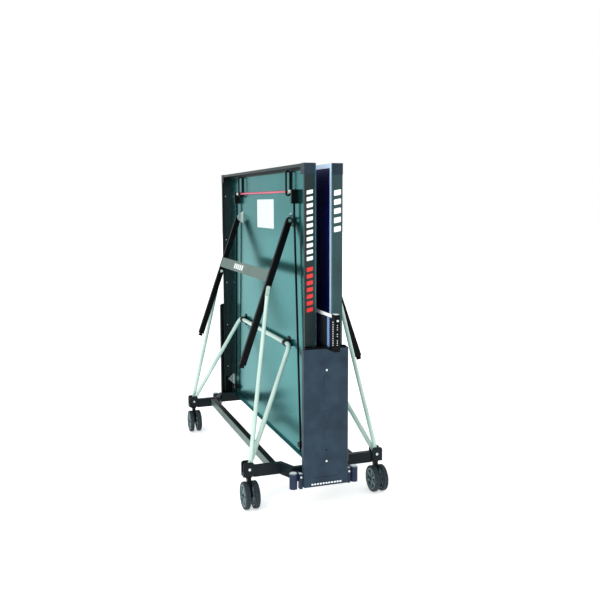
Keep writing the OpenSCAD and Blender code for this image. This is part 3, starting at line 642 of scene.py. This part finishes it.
# %% Tyres
wheel_low, wheel_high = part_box("near_left_outer_tyre")
hub_low, hub_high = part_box("near_left_outer_hub")
TYRE_RADIUS = (wheel_high.z - wheel_low.z) / 2
TYRE_WIDTH = wheel_high.x - wheel_low.x
TYRE_BORE = (hub_high.z - hub_low.z) / 2
SHOULDER = 6 * mm
GROOVE = 2.4 * mm
GROOVE_DEPTH = 1.2 * mm
WHEEL_STEPS = 96


def ring_resize(ratio):
    """Draws the selected ring towards the X axis, or away from it."""
    bpy.ops.transform.resize(value=(1, ratio, ratio), center_override=(0, 0, 0))


def off_axis(point):
    return math.hypot(point.y, point.z)


bpy.ops.object.select_all(action="DESELECT")
bpy.ops.mesh.primitive_cylinder_add(vertices=WHEEL_STEPS, radius=TYRE_RADIUS, depth=TYRE_WIDTH,
                                    end_fill_type="NOTHING", rotation=(0, math.pi / 2, 0))
tyre = bpy.context.object
settle(tyre)
choose(tyre, "EDGE", lambda a, b: a.x * b.x > 0 and abs(a.x - b.x) < 0.1 * mm)
bpy.ops.mesh.extrude_edges_move()
ring_resize(TYRE_BORE / TYRE_RADIUS)
close_edit()
tread = TYRE_RADIUS - 0.1 * mm
choose(tyre, "EDGE", lambda a, b: a.x * b.x > 0 and min(off_axis(a), off_axis(b)) > tread)
bpy.ops.mesh.bevel(offset=SHOULDER, segments=6, profile=0.5)
close_edit()
for cut in (-GROOVE / 2, GROOVE / 2):
    choose(tyre, "FACE", lambda centre, normal: True)
    bpy.ops.mesh.bisect(plane_co=(cut, 0, 0), plane_no=(1, 0, 0))
    close_edit()
choose(tyre, "FACE",
       lambda centre, normal: abs(centre.x) < GROOVE / 2 and off_axis(centre) > TYRE_BORE)
bpy.ops.mesh.extrude_region_move()
ring_resize(1 - GROOVE_DEPTH / TYRE_RADIUS)
close_edit()
seat = TYRE_BORE + 0.1 * mm
choose(tyre, "EDGE", lambda a, b: a.x * b.x > 0 and max(off_axis(a), off_axis(b)) < seat)
bpy.ops.mesh.bridge_edge_loops()
bpy.ops.mesh.select_all(action="SELECT")
bpy.ops.mesh.remove_doubles(threshold=0.01 * mm)
bpy.ops.mesh.normals_make_consistent(inside=False)
close_edit()
polish(tyre, 40)

for node in [name for name in nodes if name.endswith("tyre")]:
    low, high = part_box(node)
    ring = copy_of(tyre, (low + high) / 2)
    hand_over(ring, node + "_moulded", rubber, slots[node], body_of_node[node], node)
bpy.data.objects.remove(tyre)
print("tyre radius, width:", TYRE_RADIUS, TYRE_WIDTH)

# %% [markdown]
# ## The net
#
# A table tennis net is knotted or woven twine with square meshes of about 12 mm. A grid of
# square faces has an edge where each twine runs, so the Wireframe modifier turns it into
# real strands with real holes. The net is stretched between the posts, so it stays flat
# and needs no simulation.

# %% Net of twine
MESH = 12.4 * mm
TWINE = 1.3 * mm
net_low, net_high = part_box("net")
net_size = net_high - net_low
bpy.ops.object.select_all(action="DESELECT")
bpy.ops.mesh.primitive_grid_add(x_subdivisions=round(net_size.z / MESH),
                                y_subdivisions=round(net_size.y / MESH), size=1,
                                location=(net_low + net_high) / 2, rotation=(0, math.pi / 2, 0))
net = bpy.context.object
net.scale = (net_size.z - TWINE, net_size.y - TWINE, 1)
settle(net)
modify(net, "WIREFRAME", thickness=TWINE, use_even_offset=True, use_boundary=True)
hand_over(net, "net_mesh", twine, "net_fabric", "root", "net")

# %% [markdown]
# ## The net tape
#
# The top of the net is bound with a white cotton tape, folded over a cord and stitched
# below it. It is one strip: a round fold over the cord and two flat legs. Half a circle
# makes the fold, its two ends are drawn down as legs, the section is drawn along the net
# and the strip is given the thickness of the cloth.

# %% Folded tape
tape_low, tape_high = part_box("net_tape")
TAPE_CLOTH = 0.5 * mm
fold_radius = (tape_high.x - tape_low.x - TAPE_CLOTH) / 2
fold_centre = tape_high.z - fold_radius - TAPE_CLOTH / 2
leg_fall = tape_high.z - tape_low.z - fold_radius - TAPE_CLOTH
TAPE_STEPS = 40

bpy.ops.object.select_all(action="DESELECT")
bpy.ops.mesh.primitive_circle_add(vertices=24, radius=fold_radius, rotation=(math.pi / 2, 0, 0),
                                  location=(0, tape_low.y, fold_centre))
tape = bpy.context.object
settle(tape)
choose(tape, "VERT", lambda point: point.z < fold_centre - 0.01 * mm)
bpy.ops.mesh.delete(type="VERT")
close_edit()
choose(tape, "VERT", lambda point: point.z < fold_centre + 0.01 * mm)
bpy.ops.mesh.extrude_vertices_move(TRANSFORM_OT_translate={"value": (0, 0, -leg_fall)})
close_edit()
tape_run = (tape_high.y - tape_low.y) / TAPE_STEPS
choose(tape, "VERT", lambda point: True)
for _ in range(TAPE_STEPS):
    bpy.ops.mesh.extrude_edges_move(TRANSFORM_OT_translate={"value": (0, tape_run, 0)})
bpy.ops.mesh.select_all(action="SELECT")
bpy.ops.mesh.normals_make_consistent(inside=False)
close_edit()
modify(tape, "SOLIDIFY", thickness=TAPE_CLOTH, offset=0)
only(tape)
bpy.ops.object.shade_smooth_by_angle(angle=math.radians(40))
hand_over(tape, "net_tape_folded", tape_cotton, "tape_fabric", "root", "net_tape")

# %% [markdown]
# ## Sleeves at the ends of the net
#
# A strong cloth band is sewn over each end of the net and laced to its post, so that the
# twine isn't torn. It's one flat band with a blue hem. It starts as a block as thin as the
# cloth, and its upright edges are rounded like a seam.

# %% Net sleeves
SLEEVE_CLOTH = 3.2 * mm
SEAM = 1.2 * mm
bpy.ops.object.select_all(action="DESELECT")
bpy.ops.mesh.primitive_cube_add(size=1, scale=(SLEEVE_CLOTH, SLEEVE, net_size.z))
sleeve = bpy.context.object
settle(sleeve)
choose(sleeve, "EDGE", lambda a, b: abs(a.z - b.z) > net_size.z / 2)
bpy.ops.mesh.bevel(offset=SEAM, segments=3)
close_edit()
sleeve_z = (net_low.z + net_high.z) / 2
for end, side in (("near", -1), ("far", 1)):
    band = copy_of(sleeve, (0, side * (net_high.y - SLEEVE / 2), sleeve_z))
    hand_over(band, end + "_net_sleeve", sleeve_blue, "net_fabric", "root")
bpy.data.objects.remove(sleeve)
print("sleeves:", SLEEVE, "by", net_size.z)

# %% [markdown]
# ## Marks on the sides
#
# The side rails carry rows of plain slanted bars cut from vinyl film. One bar starts as a
# thin block, one side is pushed up to slant it and its corners are bevelled. Copies are set
# out down the rail and joined.

# %% Vinyl bars
FILM = 0.25 * mm
SLANT = 6 * mm
CORNER_SHARE = 0.14


def vinyl_bar(wide, tall, slant):
    """A slanted bar of film on a rail that faces -Y, centred at the origin."""
    bpy.ops.object.select_all(action="DESELECT")
    bpy.ops.mesh.primitive_cube_add(size=1, scale=(wide, FILM, tall))
    bar = bpy.context.object
    settle(bar)
    choose(bar, "VERT", lambda point: point.x > 0)
    bpy.ops.transform.translate(value=(0, 0, slant))
    close_edit()
    choose(bar, "EDGE", lambda a, b: abs(a.y - b.y) > FILM / 2)
    bpy.ops.mesh.bevel(offset=min(wide, tall) * CORNER_SHARE, segments=3)
    close_edit()
    return bar


def row_of_bars(name, half, count, top, pitch, wide, tall, paint, slot):
    """A row of bars down the near rail of a half, from height top."""
    low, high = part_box(half + "_frame")
    bar = vinyl_bar(wide, tall, SLANT)
    middle = (low.x + high.x) / 2
    heights = [top - pitch * (i + 0.5) for i in range(count)]
    row = [copy_of(bar, (middle, low.y - FILM / 2, height)) for height in heights]
    bpy.data.objects.remove(bar)
    return hand_over(joined(row), name, paint, slot, half + "_half")


row_of_bars("left_white_bars", "left", count=11, top=1.452, pitch=29 * mm,
            wide=29 * mm, tall=17 * mm, paint=white_vinyl, slot="tape_fabric")
row_of_bars("left_red_bars", "left", count=7, top=1.115, pitch=30 * mm,
            wide=29 * mm, tall=18 * mm, paint=red_vinyl, slot="red_paint")
row_of_bars("right_white_bars", "right", count=5, top=1.455, pitch=40 * mm,
            wide=33 * mm, tall=24 * mm, paint=white_vinyl, slot="tape_fabric")
print("marks made")

# %% [markdown]
# ## Small marks and a label
#
# The covers, the net posts and one crossbar carry rows of small plain dashes, and the
# underside of the left half carries a paper label. Every mark is one thin film with rounded
# corners, modelled on a face that looks along -Y, then turned where needed. The crossbar
# leans, so its marks are turned by the slope of its outer face, which is read from the CAD.

# %% Dashes and label
def film(wide, tall, corner):
    """A thin film in the XZ plane, centred at the origin, with rounded corners."""
    bpy.ops.object.select_all(action="DESELECT")
    bpy.ops.mesh.primitive_cube_add(size=1, scale=(wide, FILM, tall))
    made = bpy.context.object
    settle(made)
    choose(made, "EDGE", lambda a, b: abs(a.y - b.y) > FILM / 2)
    bpy.ops.mesh.bevel(offset=corner, segments=3)
    close_edit()
    return made


def dashes(name, dash, places, body, paint=white_vinyl):
    """Copies of one dash at the places given, joined into one piece."""
    made = joined([copy_of(dash, place) for place in places])
    bpy.data.objects.remove(dash)
    return hand_over(made, name, paint, "tape_fabric", body)


def turned(piece, angle, axis="Z"):
    """Turns a piece about an axis through the origin."""
    only(piece)
    bpy.ops.transform.rotate(value=angle, orient_axis=axis, center_override=(0, 0, 0))
    settle(piece)
    return piece


cover_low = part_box("near_side_cover")[0]
COVER_RELIEF = 1.5 * mm
COVER_ROW = 11
COVER_PITCH = 13.6 * mm
COVER_ROW_UP = 12 * mm
for end, side in (("near", -1), ("far", 1)):
    face_y = side * (abs(cover_low.y) - COVER_RELIEF + FILM / 2)
    across = [(i - COVER_ROW // 2) * COVER_PITCH for i in range(COVER_ROW)]
    row = [(x, face_y, cover_low.z + COVER_ROW_UP) for x in across]
    dash = film(wide=9 * mm, tall=7 * mm, corner=1 * mm)
    dashes(end + "_cover_dashes", dash, row, "root")

post_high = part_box("net_posts")[1]
POST_HALF = 13 * mm
POST_DEEP = 35 * mm
# The front dashes leave two gaps, so that they stand in three groups.
FRONT_GAPS = (3, 6)
front_drops = [(44 + 9.5 * i) * mm for i in range(10) if i not in FRONT_GAPS]
side_drops = [(32 + 10 * i) * mm for i in range(11)]
for end, side in (("near", -1), ("far", 1)):
    face_y = side * (post_high.y + FILM / 2)
    front = [(0, face_y, post_high.z - drop) for drop in front_drops]
    dash = film(wide=4 * mm, tall=3 * mm, corner=0.5 * mm)
    dashes(end + "_post_dashes", dash, front, "root")
    side_y = side * (post_high.y - POST_DEEP / 2)
    for hand, hand_side in (("left", -1), ("right", 1)):
        face_x = hand_side * (POST_HALF + FILM / 2)
        strip = [(face_x, side_y, post_high.z - drop) for drop in side_drops]
        dash = turned(film(wide=10 * mm, tall=4 * mm, corner=0.8 * mm), math.pi / 2)
        dashes(end + "_" + hand + "_post_strip", dash, strip, "root")

under_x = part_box("left_frame")[1].x
LABEL_AT = (under_x - FILM / 2, -10 * mm, 1.337)
blank = turned(film(wide=300 * mm, tall=150 * mm, corner=3 * mm), math.pi / 2)
label = copy_of(blank, LABEL_AT)
bpy.data.objects.remove(blank)
hand_over(label, "left_paper_label", label_paper, "tape_fabric", "left_half")

BAR_ROW = 5
BAR_PITCH = 38 * mm
BAR_ROW_Y = 75 * mm
bar_low, bar_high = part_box("left_crossbar")
bar_middle = (bar_low + bar_high) / 2
bar_mesh = nodes["left_crossbar"].data
outer_face = max(bar_mesh.polygons, key=lambda face: -face.normal.x * face.area)
outward = outer_face.normal.copy()
bar_half = max((point.co - bar_middle).dot(outward) for point in bar_mesh.vertices)
on_bar = bar_middle + outward * (bar_half + FILM / 2)
mark = turned(film(wide=24 * mm, tall=28 * mm, corner=3 * mm), math.pi / 2)
mark = turned(mark, -math.asin(outward.z), "Y")
along = [BAR_ROW_Y + (i - BAR_ROW // 2) * BAR_PITCH for i in range(BAR_ROW)]
dashes("left_crossbar_dashes", mark, [(on_bar.x, y, on_bar.z) for y in along], "left_leg_frame")
print("dashes and label made")

# %% [markdown]
# ## Net clamps
#
# Each post has a white clip over its top, which holds the tape, and a round screw head below
# it that tightens the clamp. The clip is a block with its edges rounded, the screw a short
# cylinder whose rim is bevelled and whose face is inset and pushed in.

# %% Net clamps
CLIP = Vector((20, 30, 3)) * mm
KNOB_RADIUS = 5 * mm
KNOB_LONG = 7 * mm
KNOB_RIM = 1.6 * mm
KNOB_DISH = 1.5 * mm
ROUNDING = 1.2 * mm
CLIP_INSET = 18 * mm
KNOB_DROP = 24 * mm
bpy.ops.object.select_all(action="DESELECT")
bpy.ops.mesh.primitive_cube_add(size=1, scale=CLIP, location=(0, 0, CLIP.z / 2))
clip = bpy.context.object
settle(clip)
choose(clip, "FACE", lambda centre, normal: True)
bpy.ops.mesh.bevel(offset=ROUNDING, segments=3, affect="EDGES")
close_edit()
bpy.ops.object.select_all(action="DESELECT")
bpy.ops.mesh.primitive_cylinder_add(vertices=32, radius=KNOB_RADIUS, depth=KNOB_LONG,
                                    location=(0, -KNOB_LONG / 2, 0), rotation=(math.pi / 2, 0, 0))
knob = bpy.context.object
settle(knob)
choose(knob, "FACE", lambda centre, normal: normal.y < -0.9)
bpy.ops.mesh.bevel(offset=ROUNDING, segments=3)
bpy.ops.mesh.inset(thickness=KNOB_RIM)
bpy.ops.transform.translate(value=(0, KNOB_DISH, 0))
close_edit()
polish(clip)
polish(knob)
for end, side in (("near", -1), ("far", 1)):
    top = copy_of(clip, (0, side * (post_high.y - CLIP_INSET), post_high.z))
    hand_over(top, end + "_net_clip", pale_plastic_and_highlight, "tape_fabric", "root")
    screw = copy_of(knob, (0, side * post_high.y, post_high.z - KNOB_DROP), (1, -side, 1))
    hand_over(screw, end + "_clamp_screw", zinc, slots["chassis_bolts"], "root")
for spare in (clip, knob):
    bpy.data.objects.remove(spare)
print("clamps made")

# %% [markdown]
# ## Rivets and return springs
#
# Blind rivets hold the side rails to the sheet: small domes in a row along the inside of
# each rail. A dome is the upper half of a sphere, pressed flat. Behind each end of the
# release handle a coil spring pulls the lock rods back. A spring is a small circle that the
# Screw modifier sweeps around the Y axis.

# %% Rivets and springs
RIVET = 4 * mm
RIVET_FIRST = 0.16
RIVET_PITCH = 0.27
RIVETS = 5
RAIL_WALL = 2 * mm
bpy.ops.object.select_all(action="DESELECT")
bpy.ops.mesh.primitive_uv_sphere_add(segments=16, ring_count=8, radius=RIVET)
rivet = bpy.context.object
choose(rivet, "VERT", lambda point: point.y < -0.1 * mm)
bpy.ops.mesh.delete(type="VERT")
bpy.ops.mesh.select_all(action="SELECT")
bpy.ops.transform.resize(value=(1, 0.5, 1), center_override=(0, 0, 0))
close_edit()
polish(rivet)
for half in ("left", "right"):
    low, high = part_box(half + "_frame")
    middle = (low.x + high.x) / 2
    heights = [low.z + (RIVET_FIRST + RIVET_PITCH * i) for i in range(RIVETS)]
    domes = []
    for y, inward in ((low.y, 1), (high.y, -1)):
        for z in heights:
            domes.append(copy_of(rivet, (middle, y + inward * RAIL_WALL, z), (1, inward, 1)))
    hand_over(joined(domes), half + "_rivets", zinc, slots[half + "_brackets"], half + "_half")
bpy.data.objects.remove(rivet)

COIL = 7.4 * mm
COIL_WIRE = 0.9 * mm
COIL_TURNS = 11
COIL_STEPS = 16 * COIL_TURNS
COIL_LONG = 55 * mm
COIL_FROM_BAR = 28 * mm
bpy.ops.object.select_all(action="DESELECT")
bpy.ops.mesh.primitive_circle_add(vertices=8, radius=COIL_WIRE, location=(COIL, 0, 0))
spring = bpy.context.object
settle(spring)
modify(spring, "SCREW", axis="Y", angle=math.tau * COIL_TURNS, screw_offset=COIL_LONG,
       steps=COIL_STEPS, render_steps=COIL_STEPS)
only(spring)
bpy.ops.object.shade_smooth()
for half in ("left", "right"):
    low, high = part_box(half + "_release_bar")
    centre = (low + high) / 2
    pair = [copy_of(spring, (centre.x, high.y + COIL_FROM_BAR, centre.z)),
            copy_of(spring, (centre.x, low.y - COIL_FROM_BAR, centre.z), (1, -1, 1))]
    hand_over(joined(pair), half + "_return_springs", zinc, slots[half + "_brackets"],
              half + "_release")
bpy.data.objects.remove(spring)
print("rivets and springs made")

# %% [markdown]
# ## Studio
#
# The table stands on a plain white floor in a white room. The room is a little brighter
# up to the left, where a large soft box hangs, and dimmer to the right, so that round
# tubes show a light and a shaded side. The floor belongs to the stage, not to the table.

# %% Floor, room and lights
bpy.context.scene.view_settings.view_transform = "Standard"
bpy.ops.object.select_all(action="DESELECT")
bpy.ops.mesh.primitive_plane_add(size=60)
floor = bpy.context.object
floor.name = "studio_floor"
floor_paint = new_material("matt white studio floor", Roughness=0.9, Base_Color=linear("#FAFBFB"),
                           Emission_Color=linear("#FFFFFF"), Emission_Strength=0.45)[0]
floor.data.materials.append(floor_paint)

room = bpy.data.worlds.new("white room")
bpy.context.scene.world = room
room.use_nodes = True
sky = room.node_tree.nodes["Background"]
sky.inputs["Color"].default_value = linear("#FFFFFF")
sky.inputs["Strength"].default_value = 1.0


def soft_box(name, at, aim, size, power):
    """A square area light that faces the point aim."""
    bpy.ops.object.select_all(action="DESELECT")
    bpy.ops.object.light_add(type="AREA", location=at)
    light = bpy.context.object
    light.name = name
    light.rotation_euler = (Vector(aim) - Vector(at)).to_track_quat("-Z", "Y").to_euler()
    light.data.size = size
    light.data.energy = power
    return light


soft_box("key_light", (-3.2, -3.4, 3.6), (0, 0, 0.7), 2.2, 90)
